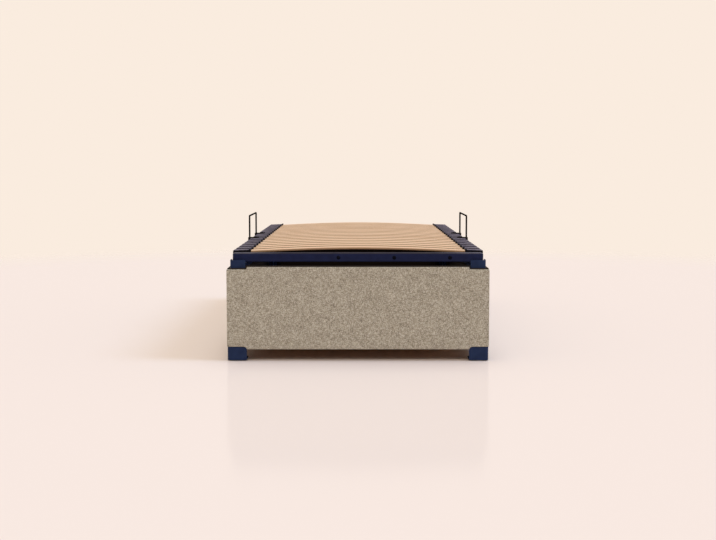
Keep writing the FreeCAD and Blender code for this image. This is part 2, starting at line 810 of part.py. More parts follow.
def make_struts():
    low = vector(-strut_x, strut_low_y, strut_low_z)
    high = vector(-strut_x, strut_high_y, hinge_z)
    run = (high - low).normalize()
    eye_half = strut_eye_width / 2

    def eye_at(spot):
        return bar(spot - along_x * eye_half, spot + along_x * eye_half, strut_eye_radius)

    def eye_hole(spot):
        return bar(spot - along_x * strut_eye_width, spot + along_x * strut_eye_width,
                   strut_stud_radius + running_clearance)

    tube_start = strut_eye_radius + face_clearance
    tube_end = strut_rest_length - strut_eye_radius - strut_closed_gap
    bore_start = tube_start + strut_base_length
    bore_end = tube_end - strut_guide_length
    bore_radius = strut_cylinder_radius - strut_cylinder_wall
    cylinder = bar(low + run * tube_start, low + run * tube_end, strut_cylinder_radius)
    neck = bar(low, low + run * bore_start, strut_neck_radius)
    cylinder = cylinder.cut(bar(low + run * bore_start, low + run * bore_end, bore_radius))
    cylinder = cylinder.cut(bar(low + run * (bore_end - overrun), low + run * (tube_end + overrun),
                                strut_rod_radius + running_clearance))
    cylinder = cylinder.fuse(neck).fuse(eye_at(low)).cut(eye_hole(low))
    keep("left_strut_cylinder", cylinder)
    keep("right_strut_cylinder", left_right(cylinder))

    piston_start = bore_start + strut_piston_from_base
    piston = bar(low + run * piston_start, low + run * (piston_start + strut_piston_length),
                 bore_radius - face_clearance)
    shaft = bar(low + run * piston_start, high, strut_rod_radius)
    rod = shaft.fuse(piston).fuse(eye_at(high)).cut(eye_hole(high))
    keep("left_strut_rod", rod)
    keep("right_strut_rod", left_right(rod))

    def stud(spot, seat_x):
        # A collar keeps the eye off the seat, and a riveted head keeps it on the stud
        eye_outside = -strut_x - eye_half - face_clearance
        eye_inside = -strut_x + eye_half + face_clearance
        seat = vector(seat_x, spot.y, spot.z)
        collar = bar(seat, vector(eye_outside, spot.y, spot.z), strut_collar_radius)
        pin = bar(seat, vector(eye_inside, spot.y, spot.z), strut_stud_radius)
        rivet = bar(vector(eye_inside, spot.y, spot.z),
                    vector(eye_inside + strut_rivet_height, spot.y, spot.z), strut_rivet_radius)
        return collar.fuse(pin).fuse(rivet)

    plate_outside = -rail_inside_x
    plate_inside = plate_outside + strut_plate_thickness
    plate = block(plate_outside, plate_inside, strut_low_y - strut_plate_width / 2,
                  strut_low_y + strut_plate_width / 2, lower_rail_bottom, upper_rail_top)
    plate = plate.fuse(stud(low, plate_inside))
    keep("strut_plates", plate, left_right(plate))
    tail = bar(vector(-rail_inside - deck_tube_wall, high.y, high.z), vector(-rail_inside, high.y, high.z),
               strut_stud_radius)
    upper = stud(high, -rail_inside).fuse(tail)
    keep("upper_strut_studs", upper, left_right(upper))


make_feet()
make_posts()
make_panels()
make_box_rails()
make_floor()
make_box_fasteners()
make_rest_pads()
make_deck_frame()
make_slats()
make_holders()
make_hoops()
make_deck_bolts()
make_hinge()
make_struts()

os.makedirs("parts", exist_ok=True)
for name, shape in pieces.items():
    shape.exportStep(os.path.join("parts", name + ".step"))
print(len(pieces), "nodes,", sum(len(shape.Solids) for shape in pieces.values()), "solids")
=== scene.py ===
import json
import math

import bmesh
import bpy
from mathutils import Matrix, Vector, noise


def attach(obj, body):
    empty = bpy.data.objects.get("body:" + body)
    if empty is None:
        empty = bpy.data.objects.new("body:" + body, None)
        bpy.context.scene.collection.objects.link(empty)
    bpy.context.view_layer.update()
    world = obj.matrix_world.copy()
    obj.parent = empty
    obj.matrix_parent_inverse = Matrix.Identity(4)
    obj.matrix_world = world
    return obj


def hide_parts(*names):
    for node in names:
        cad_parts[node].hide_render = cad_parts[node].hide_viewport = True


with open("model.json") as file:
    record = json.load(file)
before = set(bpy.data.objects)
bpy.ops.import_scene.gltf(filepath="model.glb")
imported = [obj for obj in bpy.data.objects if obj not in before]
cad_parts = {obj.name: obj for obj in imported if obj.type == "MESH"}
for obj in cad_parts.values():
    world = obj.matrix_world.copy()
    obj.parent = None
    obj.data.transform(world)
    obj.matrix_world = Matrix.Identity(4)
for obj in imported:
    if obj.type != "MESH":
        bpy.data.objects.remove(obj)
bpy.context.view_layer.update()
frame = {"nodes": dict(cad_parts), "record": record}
cadNodes = frame["nodes"]
scene = bpy.context.scene
scene.view_settings.view_transform = "Standard"


# helpers for node trees
def feed(tree, value, socket):
    if isinstance(value, bpy.types.NodeSocket):
        tree.links.new(value, socket)
    else:
        socket.default_value = value


def treeNode(tree, kind, inputs=None, **settings):
    node = tree.nodes.new(kind)
    for key, value in settings.items():
        setattr(node, key, value)
    for key, value in (inputs or {}).items():
        feed(tree, value, node.inputs[key])
    return node


def shaderNode(tree, kind, inputs=None, **settings):
    return treeNode(tree, "ShaderNode" + kind, inputs, **settings)


def geometryNode(tree, kind, inputs=None, **settings):
    return treeNode(tree, "GeometryNode" + kind, inputs, **settings)


def opaque(colour):
    return (*colour, 1)


def shaded(colour, share):
    return [channel * share for channel in colour]


def calc(tree, operation, first, second=0.0, third=0.0):
    return shaderNode(tree, "Math", {0: first, 1: second, 2: third}, operation=operation).outputs[0]


def colourRamp(tree, fac, stops):
    node = shaderNode(tree, "ValToRGB", {"Fac": fac})
    elements = node.color_ramp.elements
    elements.remove(elements[1])
    elements[0].position = stops[0][0]
    elements[0].color = opaque(stops[0][1])
    for spot, colour in stops[1:]:
        elements.new(spot).color = opaque(colour)
    return node.outputs["Color"]


def mixColour(tree, fac, first, second, blend="MIX"):
    node = shaderNode(tree, "Mix", {0: fac, 6: first, 7: second}, data_type="RGBA", blend_type=blend)
    return node.outputs[2]


def mixShader(tree, fac, first, second):
    shaders = {0: fac, 1: first.outputs[0], 2: second.outputs[0]}
    return shaderNode(tree, "MixShader", shaders)


def rescale(tree, value, fromLow, fromHigh, toLow, toHigh):
    node = shaderNode(tree, "MapRange", {"Value": value, "From Min": fromLow, "From Max": fromHigh,
                                         "To Min": toLow, "To Max": toHigh})
    return node.outputs["Result"]


def objectPlace(tree, scale=(1, 1, 1)):
    place = shaderNode(tree, "TexCoord").outputs["Object"]
    return shaderNode(tree, "Mapping", {"Vector": place, "Scale": scale}).outputs["Vector"]


def axesOf(tree, vector):
    return shaderNode(tree, "SeparateXYZ", {"Vector": vector}).outputs


def attributeOf(tree, name):
    return shaderNode(tree, "Attribute", attribute_name=name).outputs["Fac"]


def cloudAt(tree, place, scale, detail=2.0, distortion=0.0):
    return shaderNode(tree, "TexNoise", {"Vector": place, "Scale": scale, "Detail": detail,
                                         "Distortion": distortion}).outputs["Fac"]


cloudSpan = (0.3, 0.7)  # most of a noise lies between these


def fromCloud(tree, cloud, low, high):
    return rescale(tree, cloud, *cloudSpan, low, high)


def reliefFrom(tree, shader, height, depth, strength):
    bump = shaderNode(tree, "Bump", {"Height": height, "Distance": depth, "Strength": strength})
    tree.links.new(bump.outputs["Normal"], shader.inputs["Normal"])


def newFinish(name, constants):
    material = bpy.data.materials.new(name)
    material.use_nodes = True
    tree = material.node_tree
    shader = tree.nodes["Principled BSDF"]
    for key, value in constants.items():
        shader.inputs[key].default_value = value
    return material, tree, shader


# heathered plain weave: every thread has its own run of light and dark fibres
clothLook = {
    "surface": {"Roughness": 0.92, "Specular IOR Level": 0.2,
                "Sheen Weight": 0.12, "Sheen Roughness": 0.45},
    "yarn": 0.0026,  # spacing of the threads
    "fleck": 0.0095,  # length over which a thread keeps one shade
    "threadStep": 17.31, "weftStart": 431.7, "threadDetail": 1.5,
    "stops": [(0.28, (0.208, 0.182, 0.150)), (0.46, (0.389, 0.353, 0.297)),
              (0.56, (0.453, 0.416, 0.357)), (0.74, (0.658, 0.625, 0.572))],
    "driftScale": 28.0, "drift": 0.03,
    # painted shade in the crevices between the threads
    "grooveShade": [(0.0, (0.62, 0.60, 0.57)), (0.6, (1.0, 1.0, 1.0))],
    "fibreScale": 2600.0, "fibreShare": 0.5, "relief": 0.0005, "reliefStrength": 0.7,
}


def makeCloth():
    look = clothLook
    material, tree, shader = newFinish("beigeHeather", look["surface"])
    uv = shaderNode(tree, "TexCoord").outputs["UV"]
    axes = axesOf(tree, uv)
    across, up = axes["X"], axes["Y"]
    acrossYarns = calc(tree, "DIVIDE", across, look["yarn"])
    upYarns = calc(tree, "DIVIDE", up, look["yarn"])
    waveAcross = calc(tree, "SINE", calc(tree, "MULTIPLY", acrossYarns, math.pi))
    waveUp = calc(tree, "SINE", calc(tree, "MULTIPLY", upYarns, math.pi))
    crossing = calc(tree, "MULTIPLY", waveAcross, waveUp)
    warpOnTop = calc(tree, "GREATER_THAN", crossing, 0.0)

    def threadShade(threads, along, start):
        own = calc(tree, "MULTIPLY_ADD", calc(tree, "FLOOR", threads), look["threadStep"], start)
        run = calc(tree, "DIVIDE", along, look["fleck"])
        spot = shaderNode(tree, "CombineXYZ", {"X": own, "Y": run}).outputs["Vector"]
        return shaderNode(tree, "TexNoise", {"Vector": spot, "Scale": 1.0, "Detail": look["threadDetail"]},
                          noise_dimensions="2D").outputs["Fac"]

    warpShade = threadShade(acrossYarns, up, 0.0)
    weftShade = threadShade(upYarns, across, look["weftStart"])
    heather = shaderNode(tree, "Mix", {0: warpOnTop, 2: weftShade, 3: warpShade}).outputs[0]
    broad = cloudAt(tree, uv, look["driftScale"])
    heather = calc(tree, "ADD", heather, fromCloud(tree, broad, -look["drift"], look["drift"]))
    colour = colourRamp(tree, heather, look["stops"])
    rounded = calc(tree, "POWER", calc(tree, "ABSOLUTE", crossing), 0.5)
    # painted shade: the colour darkens in the crevices where the threads cross
    grooveShade = colourRamp(tree, rounded, look["grooveShade"])
    tree.links.new(mixColour(tree, 1.0, colour, grooveShade, "MULTIPLY"), shader.inputs["Base Color"])
    fibres = calc(tree, "MULTIPLY", cloudAt(tree, uv, look["fibreScale"]), look["fibreShare"])
    reliefFrom(tree, shader, calc(tree, "ADD", rounded, fibres), look["relief"], look["reliefStrength"])
    return material


# powder coat and paint on steel: fine orange peel and a slight mottling
coatGrain = {"mottleScale": 38.0, "mottleDetail": 4.0, "darkAt": 0.35, "lightAt": 0.65,
             "roughnessDrift": 0.06, "peelScale": 950.0, "peelStrength": 0.6}
coatLooks = {
    "navyPowderCoat": {"dark": (0.0110, 0.0210, 0.0640), "light": (0.0150, 0.0282, 0.0820), "peel": 0.00006,
                       "roughness": 0.50, "specular": 0.10},
    "deckPowderCoat": {"dark": (0.0060, 0.0092, 0.0400), "light": (0.0083, 0.0126, 0.0515), "peel": 0.00006,
                       "roughness": 0.45, "specular": 0.10, "topSheen": True},
    "boltPaint": {"dark": (0.0012, 0.0014, 0.0060), "light": (0.0022, 0.0026, 0.0100), "peel": 0.00003,
                  "roughness": 0.22, "specular": 0.04},
    "wireCoat": {"dark": (0.010, 0.0075, 0.0055), "light": (0.015, 0.011, 0.008), "peel": 0.00004,
                 "roughness": 0.70, "specular": 0.0},
    "strutPaint": {"dark": (0.008, 0.008, 0.009), "light": (0.012, 0.012, 0.0135), "peel": 0.00002,
                   "roughness": 0.18, "specular": 0.5},
}
# colours and spans of the painted highlight on the deck's top faces
topSheenLook = {
    "paintedSheen": (0.056, 0.050, 0.062), "paintedSheenMost": (0.145, 0.138, 0.178),
    "heightFrom": 0.3842, "heightTo": 0.3858, "cornerFrom": 0.28, "cornerTo": 0.40,
    "footEnd": -0.962, "besideFoot": -0.950, "elsewhere": 0.20,
    "grain": (5, 14, 14), "scale": 6.0, "detail": 5.0, "least": 0.55,
}


# the top faces of the deck are painted lighter, a painted highlight for the grazing reflection on the rail
# tops: strongest along the foot rail, lighter still towards its corners, in patches
def paintedTopSheen(tree, place, colour):
    look = topSheenLook
    axes = axesOf(tree, place)
    top = rescale(tree, axes["Z"], look["heightFrom"], look["heightTo"], 0.0, 1.0)
    nearFoot = rescale(tree, axes["Y"], look["footEnd"], look["besideFoot"], 1.0, look["elsewhere"])
    sheenShare = calc(tree, "MULTIPLY", top, nearFoot)
    aside = calc(tree, "ABSOLUTE", axes["X"])
    beside = rescale(tree, aside, look["cornerFrom"], look["cornerTo"], 0.0, 1.0)
    sheenColour = mixColour(tree, beside, opaque(look["paintedSheen"]), opaque(look["paintedSheenMost"]))
    patches = cloudAt(tree, objectPlace(tree, look["grain"]), look["scale"], look["detail"])
    sheenPatches = fromCloud(tree, patches, look["least"], 1.0)
    return mixColour(tree, calc(tree, "MULTIPLY", sheenShare, sheenPatches), colour, sheenColour)


def makeCoat(name):
    look = coatLooks[name]
    grain = coatGrain
    material, tree, shader = newFinish(name, {"Specular IOR Level": look["specular"]})
    place = objectPlace(tree)
    mottle = cloudAt(tree, place, grain["mottleScale"], grain["mottleDetail"])
    colour = colourRamp(tree, mottle, [(grain["darkAt"], look["dark"]), (grain["lightAt"], look["light"])])
    # painted highlight on the top faces of this coat
    if look.get("topSheen"):
        colour = paintedTopSheen(tree, place, colour)
    tree.links.new(colour, shader.inputs["Base Color"])
    smooth = look["roughness"] - grain["roughnessDrift"]
    rough = look["roughness"] + grain["roughnessDrift"]
    tree.links.new(fromCloud(tree, mottle, smooth, rough), shader.inputs["Roughness"])
    peel = cloudAt(tree, place, grain["peelScale"])
    reliefFrom(tree, shader, peel, look["peel"], grain["peelStrength"])
    return material


# lacquered beech veneer with long grain, short flecks and ply lines on the edges
beechLook = {
    "specular": 0.3, "smooth": 0.40, "rough": 0.50, "relief": 0.00008, "reliefStrength": 0.5,
    "grain": [(0.30, (0.585, 0.355, 0.209)), (0.50, (0.748, 0.480, 0.307)), (0.70, (0.836, 0.566, 0.378))],
    "broadStretch": (2.4, 70, 70), "broadShare": 0.62, "broadDetail": 3.0, "broadBend": 0.8,
    "fineStretch": (14, 620, 620), "fineShare": 0.38, "fineBend": 0.3,
    "toneShift": 0.055,  # how far one slat is lighter or darker than the next
    "fleck": (0.42, 0.25, 0.14), "fleckStretch": (150, 1900, 1900), "fleckDetail": 1.0,
    "fleckFrom": 0.66, "fleckTo": 0.74, "fleckMost": 0.45,
    "plies": 5.0, "plyLines": [(0.05, (0.13, 0.066, 0.034)), (0.30, (0.29, 0.170, 0.098))], "plyShare": 0.8,
}


def makeBeech():
    look = beechLook
    material, tree, shader = newFinish("beechVeneer", {"Specular IOR Level": look["specular"]})
    tone = attributeOf(tree, "slatTone")
    ply = attributeOf(tree, "plyHeight")
    edge = attributeOf(tree, "edgeMask")
    along = objectPlace(tree, look["broadStretch"])
    broad = cloudAt(tree, along, 1.0, look["broadDetail"], look["broadBend"])
    fine = cloudAt(tree, objectPlace(tree, look["fineStretch"]), 1.0, distortion=look["fineBend"])
    grain = calc(tree, "ADD", calc(tree, "MULTIPLY", broad, look["broadShare"]),
                 calc(tree, "MULTIPLY", fine, look["fineShare"]))
    grain = calc(tree, "ADD", grain, rescale(tree, tone, 0, 1, -look["toneShift"], look["toneShift"]))
    colour = colourRamp(tree, grain, look["grain"])
    dashes = cloudAt(tree, objectPlace(tree, look["fleckStretch"]), 1.0, look["fleckDetail"])
    flecks = rescale(tree, dashes, look["fleckFrom"], look["fleckTo"], 0.0, look["fleckMost"])
    colour = mixColour(tree, flecks, colour, opaque(look["fleck"]))
    layer = calc(tree, "SINE", calc(tree, "MULTIPLY", ply, math.pi * look["plies"]))
    bands = colourRamp(tree, calc(tree, "ABSOLUTE", layer), look["plyLines"])
    colour = mixColour(tree, edge, colour, mixColour(tree, look["plyShare"], colour, bands))
    tree.links.new(colour, shader.inputs["Base Color"])
    tree.links.new(fromCloud(tree, grain, look["rough"], look["smooth"]), shader.inputs["Roughness"])
    reliefFrom(tree, shader, fine, look["relief"], look["reliefStrength"])
    return material


# pressed board: matted fibres with a few darker chips
boardGrain = {"specular": 0.2, "scale": 240.0, "detail": 5.0, "bend": 1.2, "darkAt": 0.32, "lightAt": 0.68,
              "chipScale": 330.0, "chipFrom": 0.10, "chipTo": 0.20, "chipMost": 0.5, "chipShade": 0.5,
              "smooth": 0.70, "rough": 0.85, "relief": 0.00015, "reliefStrength": 0.6}
boardLooks = {
    # the panel boards are nearly black, partly as painted shade: their bare top edge above the cloth gives
    # the dark gap line along the notches
    "nearBlackBoard": {"dark": (0.011, 0.007, 0.006), "light": (0.026, 0.017, 0.013)},
    "darkHardboard": {"dark": (0.038, 0.025, 0.016), "light": (0.082, 0.055, 0.036), "rawBelow": 0.0803,
                      "rawDark": (0.40, 0.215, 0.095), "rawLight": (0.58, 0.330, 0.155)},
}


def makeBoard(name):
    look = boardLooks[name]
    grain = boardGrain
    material, tree, shader = newFinish(name, {"Specular IOR Level": grain["specular"]})
    place = objectPlace(tree)
    mat = cloudAt(tree, place, grain["scale"], grain["detail"], grain["bend"])

    def matted(dark, light):
        return colourRamp(tree, mat, [(grain["darkAt"], dark), (grain["lightAt"], light)])

    colour = matted(look["dark"], look["light"])
    if "rawBelow" in look:  # the underside is left unstained
        under = calc(tree, "LESS_THAN", axesOf(tree, place)["Z"], look["rawBelow"])
        colour = mixColour(tree, under, colour, matted(look["rawDark"], look["rawLight"]))
    cells = shaderNode(tree, "TexVoronoi", {"Vector": place, "Scale": grain["chipScale"]})
    fromMiddle = cells.outputs["Distance"]
    chips = rescale(tree, fromMiddle, grain["chipFrom"], grain["chipTo"], grain["chipMost"], 0.0)
    colour = mixColour(tree, chips, colour, opaque(shaded(look["dark"], grain["chipShade"])))
    tree.links.new(colour, shader.inputs["Base Color"])
    tree.links.new(fromCloud(tree, mat, grain["smooth"], grain["rough"]), shader.inputs["Roughness"])
    reliefFrom(tree, shader, mat, grain["relief"], grain["reliefStrength"])
    return material


# moulded plastic and rubber: spark-eroded grain
mouldGrain = {"specular": 0.5, "scale": 1500.0, "driftScale": 25.0, "darkAt": 0.35, "lightAt": 0.65,
              "darkShade": 0.86, "lightShade": 1.12, "smoother": 0.05, "rougher": 0.07,
              "reliefStrength": 0.6}
mouldLooks = {
    "blackNylon": {"colour": (0.022, 0.022, 0.025), "roughness": 0.50, "relief": 0.00005},
    "padRubber": {"colour": (0.018, 0.018, 0.018), "roughness": 0.75, "relief": 0.00008},
}


def makeMoulded(name):
    look = mouldLooks[name]
    grain = mouldGrain
    material, tree, shader = newFinish(name, {"Specular IOR Level": grain["specular"]})
    place = objectPlace(tree)
    fine = cloudAt(tree, place, grain["scale"])
    drift = cloudAt(tree, place, grain["driftScale"])
    colour = colourRamp(tree, drift, [(grain["darkAt"], shaded(look["colour"], grain["darkShade"])),
                                      (grain["lightAt"], shaded(look["colour"], grain["lightShade"]))])
    tree.links.new(colour, shader.inputs["Base Color"])
    smooth = look["roughness"] - grain["smoother"]
    rough = look["roughness"] + grain["rougher"]
    tree.links.new(fromCloud(tree, fine, smooth, rough), shader.inputs["Roughness"])
    reliefFrom(tree, shader, fine, look["relief"], grain["reliefStrength"])
    return material


# slat holders: one dark plastic painted as two copies, violet-grey roofs with a painted reflection that is
# lighter towards the outer ends and in patches, near-black walls and ears as painted shade
capLook = {
    "specular": 0.08, "wall": (0.0035, 0.0028, 0.0055),
    "roof": [(0.30, (0.046, 0.036, 0.078)), (0.70, (0.142, 0.120, 0.178))],
    "sheenScale": 42.0, "sheenDetail": 4.0, "outwardFrom": 0.39, "outwardTo": 0.45, "outwardShift": 0.16,
    "grainScale": 1500.0, "smooth": 0.48, "rough": 0.62, "relief": 0.00006, "reliefStrength": 0.6,
}


def makeCaps():
    look = capLook
    material, tree, shader = newFinish("holderPlastic", {"Specular IOR Level": look["specular"]})
    place = objectPlace(tree)
    fine = cloudAt(tree, place, look["grainScale"])
    paintedSheen = cloudAt(tree, place, look["sheenScale"], look["sheenDetail"])
    aside = calc(tree, "ABSOLUTE", axesOf(tree, place)["X"])
    shift = look["outwardShift"]
    outward = rescale(tree, aside, look["outwardFrom"], look["outwardTo"], -shift, shift)
    roofSheen = colourRamp(tree, calc(tree, "ADD", paintedSheen, outward), look["roof"])
    colour = mixColour(tree, attributeOf(tree, "roofMask"), opaque(look["wall"]), roofSheen)
    tree.links.new(colour, shader.inputs["Base Color"])
    tree.links.new(fromCloud(tree, fine, look["smooth"], look["rough"]), shader.inputs["Roughness"])
    reliefFrom(tree, shader, fine, look["relief"], look["reliefStrength"])
    return material


# plated metal with fine drawn lines and handling marks
metalGrain = {"markScale": 60.0, "markDetail": 3.0, "markShade": 0.85, "lineShare": 0.6, "markShare": 0.4,
              "smoother": 0.75, "rougher": 1.3, "relief": 0.00002, "reliefStrength": 0.4}
metalLooks = {
    "zincPlate": {"colour": (0.40, 0.40, 0.39), "roughness": 0.46, "lines": (300, 300, 300)},
    "rodChrome": {"colour": (0.80, 0.80, 0.81), "roughness": 0.07, "lines": (500, 60, 60)},
}


def makeMetal(name):
    look = metalLooks[name]
    grain = metalGrain
    material, tree, shader = newFinish(name, {"Metallic": 1.0})
    streaks = cloudAt(tree, objectPlace(tree, look["lines"]), 1.0)
    marks = cloudAt(tree, objectPlace(tree), grain["markScale"], grain["markDetail"])
    marked = shaded(look["colour"], grain["markShade"])
    colour = colourRamp(tree, marks, [(cloudSpan[0], marked), (cloudSpan[1], look["colour"])])
    tree.links.new(colour, shader.inputs["Base Color"])
    mixed = calc(tree, "ADD", calc(tree, "MULTIPLY", streaks, grain["lineShare"]),
                 calc(tree, "MULTIPLY", marks, grain["markShare"]))
    smooth = look["roughness"] * grain["smoother"]
    rough = look["roughness"] * grain["rougher"]
    tree.links.new(fromCloud(tree, mixed, smooth, rough), shader.inputs["Roughness"])
    reliefFrom(tree, shader, streaks, grain["relief"], grain["reliefStrength"])
    return material


finishes = {
    "upholstery": makeCloth(),
    "panel_board": makeBoard("nearBlackBoard"),
    "navy_steel": makeCoat("navyPowderCoat"),
    "glide_plastic": makeMoulded("blackNylon"),
    "floor_board": makeBoard("darkHardboard"),
    "plated_steel": makeMetal("zincPlate"),
    "dark_bolt": makeCoat("boltPaint"),
    "pad_rubber": makeMoulded("padRubber"),
    "slat_wood": makeBeech(),
    "holder_plastic": makeCaps(),
    "black_wire": makeCoat("wireCoat"),
    "strut_paint": makeCoat("strutPaint"),
    "strut_chrome": makeMetal("rodChrome"),
}
# the deck's own steel gets a darker copy of the navy coat that carries the painted top highlight
deckCoat = makeCoat("deckPowderCoat")
for part in frame["record"]["subparts"]:
    mesh = cadNodes[part["node"]].data
    onDeck = part["node"].startswith("deck_") and part["material_slot"] == "navy_steel"
    mesh.materials.clear()
    mesh.materials.append(deckCoat if onDeck else finishes[part["material_slot"]])
print("finishes:", len(finishes) + 1)


# helpers for pieces and meshes
def newPiece(name, mesh, body, slot, *stoodFor, finish=None):
    piece = bpy.data.objects.new(name, mesh)
    scene.collection.objects.link(piece)
    mesh.materials.clear()
    mesh.materials.append(finish or finishes[slot])
    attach(piece, body)
    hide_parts(*stoodFor)
    return piece


def meshFrom(bm, name):
    mesh = bpy.data.meshes.new(name)
    bm.to_mesh(mesh)
    bm.free()
    return mesh


def evaluatedMesh(item):
    graph = bpy.context.evaluated_depsgraph_get()
    return bpy.data.meshes.new_from_object(item.evaluated_get(graph))


def arcPoints(centre, radius, start, end, count):
    points = []
    for i in range(count + 1):
        angle = math.radians(start + (end - start) * i / count)
        points.append(Vector((centre[0] + radius * math.cos(angle), centre[1] + radius * math.sin(angle))))
    return points


def roundedRect(halfWidth, low, high, radius, steps):
    points = []
    corners = [(halfWidth - radius, high - radius, 0), (radius - halfWidth, high - radius, 90),
               (radius - halfWidth, low + radius, 180), (halfWidth - radius, low + radius, 270)]
    for x, z, turn in corners:
        points += arcPoints((x, z), radius, turn, turn + 90, steps)
    return points


def bridgeLoops(bm, loops, flat=()):
    for k, (first, second) in enumerate(zip(loops, loops[1:])):
        for i in range(len(first)):
            j = (i + 1) % len(first)
            face = bm.faces.new((first[i], first[j], second[j], second[i]))
            face.smooth = k not in flat


def closedTube(bm, loops, flat=()):
    bridgeLoops(bm, loops, flat)
    bm.faces.new(loops[0])
    bm.faces.new(loops[-1])


def outwardMesh(bm, name):
    bmesh.ops.recalc_face_normals(bm, faces=bm.faces[:])
    return meshFrom(bm, name)


# upholstered panels: cloth stretched round the edges of each board
panelShape = {
    "outerX": 0.4705, "outerY": 1.020, "bottom": 0.0419, "top": 0.3388, "thick": 0.012, "post": 0.0605,
    "notchDepth": 0.0086, "footGap": 0.0012, "footWall": 0.0105, "footWidth": 0.069, "footTop": 0.050,
    "footCorner": 0.012, "edgeRadius": 0.0026, "cornerRadius": 0.0030, "cloth": 0.0026, "topWrap": 0.0030,
    "cornerSteps": 6, "notchSteps": 7, "footSteps": 9, "edgeSteps": 6,
    "grid": 0.022, "gridMargin": 0.02, "samePoint": 1e-5, "tolerance": 1e-6,
    "rim": 0.012,  # beside the edges the cloth lies flat and its threads turn round the edge
    "middle": 0.19,  # height between the upper and the lower edges
}
rippleShape = {"height": 0.00045, "fadeIn": 0.05, "fineShare": 0.4, "broadSeed": 0.3, "fineSeed": 1.7,
               "broad": (6.0, 8.0), "fine": (24.0, 30.0), "broadShift": 31, "fineShift": 17}


def panelOutline(halfSpan, corner, raised):
    shape = panelShape
    soft = shape["cornerRadius"]
    steps = shape["cornerSteps"]
    notch = shape["notchDepth"]
    stepTop = corner - shape["thick"] - shape["post"]
    low = shape["top"] - notch
    high = shape["footTop"] + shape["footGap"]
    footRound = shape["footCorner"] + shape["footGap"]
    roundU = corner - shape["thick"] + shape["footWall"] - shape["footWidth"] + shape["footCorner"]
    roundV = shape["footTop"] - shape["footCorner"]
    reach = footRound + soft
    # the round of the foot meets the soft lower corner at this angle
    lean = math.asin((shape["bottom"] + soft - roundV) / reach)
    lowU = roundU - reach * math.cos(lean)
    leanTurn = math.degrees(lean)
    half = [Vector((0, shape["top"] if raised else low))]
    if raised:
        half += arcPoints((stepTop - soft, shape["top"] - soft), soft, 90, 0, steps)
        notchMiddle = (stepTop + notch - soft, low + notch - soft)
        half += arcPoints(notchMiddle, notch - soft, 180, 270, shape["notchSteps"])
    half += arcPoints((halfSpan - soft, low - soft), soft, 90, 0, steps)
    half += arcPoints((halfSpan - soft, high + soft), soft, 0, -90, steps)
    half += arcPoints((roundU, roundV), footRound, 90, 180 - leanTurn, shape["footSteps"])
    half += arcPoints((lowU, shape["bottom"] + soft), soft, -leanTurn, -90, steps)
    half.append(Vector((0, shape["bottom"])))
    loop = half + [Vector((-p.x, p.y)) for p in reversed(half)]
    clean = [loop[0]]
    for point in loop[1:]:
        if (point - clean[-1]).length > shape["samePoint"]:
            clean.append(point)
    if (clean[0] - clean[-1]).length < shape["samePoint"]:
        clean.pop()
    return clean  # clockwise seen from outside


def outwardAt(loop):
    outward = []
    for i, point in enumerate(loop):
        before = (point - loop[i - 1]).normalized()
        after = (loop[(i + 1) % len(loop)] - point).normalized()
        run = before + after
        outward.append(Vector((-run.y, run.x)).normalized())
    return outward


def wrapLoops(bm, loop):
    shape = panelShape
    bend = shape["edgeRadius"]
    rims = shape["top"] - shape["notchDepth"] - shape["tolerance"]
    # the top of the board stays bare
    wraps = [shape["topWrap"] if p.y > rims else shape["thick"] for p in loop]
    # inset, share of the turned-in width, depth behind the face
    rings = [(0.0, 1.0, 0.0), (0.0, 0.5, bend / 2)]
    for k in range(shape["edgeSteps"] + 1):
        angle = math.radians(90 * k / shape["edgeSteps"])
        rings.append((bend * (1 - math.cos(angle)), 0.0, bend * (1 - math.sin(angle))))
    outward = outwardAt(loop)
    loops = []
    for inset, share, depth in rings:
        loops.append([bm.verts.new((p.x - n.x * inset, p.y - n.y * inset, wrap * share + depth))
                      for p, n, wrap in zip(loop, outward, wraps)])
    return loops


def cutGrid(bm, halfSpan, top):
    shape = panelShape
    columns = int(halfSpan / shape["grid"])
    planes = [((k * shape["grid"], 0, 0), (1, 0, 0)) for k in range(-columns, columns + 1)]
    rows = int((top - shape["bottom"] - 2 * shape["gridMargin"]) / shape["grid"])
    lowest = shape["bottom"] + shape["gridMargin"]
    planes += [((0, lowest + k * shape["grid"], 0), (0, 1, 0)) for k in range(rows + 1)]
    for spot, normal in planes:
        bmesh.ops.bisect_plane(bm, geom=bm.verts[:] + bm.edges[:] + bm.faces[:], dist=shape["samePoint"],
                               plane_co=spot, plane_no=normal)


def mapCloth(bm, halfSpan, top):
    shape = panelShape
    uvLayer = bm.loops.layers.uv.new("clothMap")
    for face in bm.faces:
        face.smooth = True
        for faceCorner in face.loops:
            u, v, depth = faceCorner.vert.co
            if v > top - shape["rim"] or v < shape["bottom"] + shape["rim"]:
                v += math.copysign(depth, v - shape["middle"])
            elif abs(u) > halfSpan - shape["rim"]:
                u += math.copysign(depth, u)
            faceCorner[uvLayer].uv = (u + halfSpan, v)


def swellAt(u, v, corner):
    ripple = rippleShape
    broadAcross, broadUp = ripple["broad"]
    fineAcross, fineUp = ripple["fine"]
    broad = (u * broadAcross + corner * ripple["broadShift"], v * broadUp, ripple["broadSeed"])
    fine = (u * fineAcross, v * fineUp + corner * ripple["fineShift"], ripple["fineSeed"])
    return noise.noise(Vector(broad)) + ripple["fineShare"] * noise.noise(Vector(fine))


def rippleCloth(bm, halfSpan, top, corner):
    shape = panelShape
    for vert in bm.verts:
        u, v, depth = vert.co
        room = min(halfSpan - abs(u), top - v, v - shape["bottom"]) - shape["rim"]
        if depth < shape["tolerance"] and room > 0:
            ease = min(1.0, room / rippleShape["fadeIn"])
            vert.co.z = -rippleShape["height"] * ease * swellAt(u, v, corner)


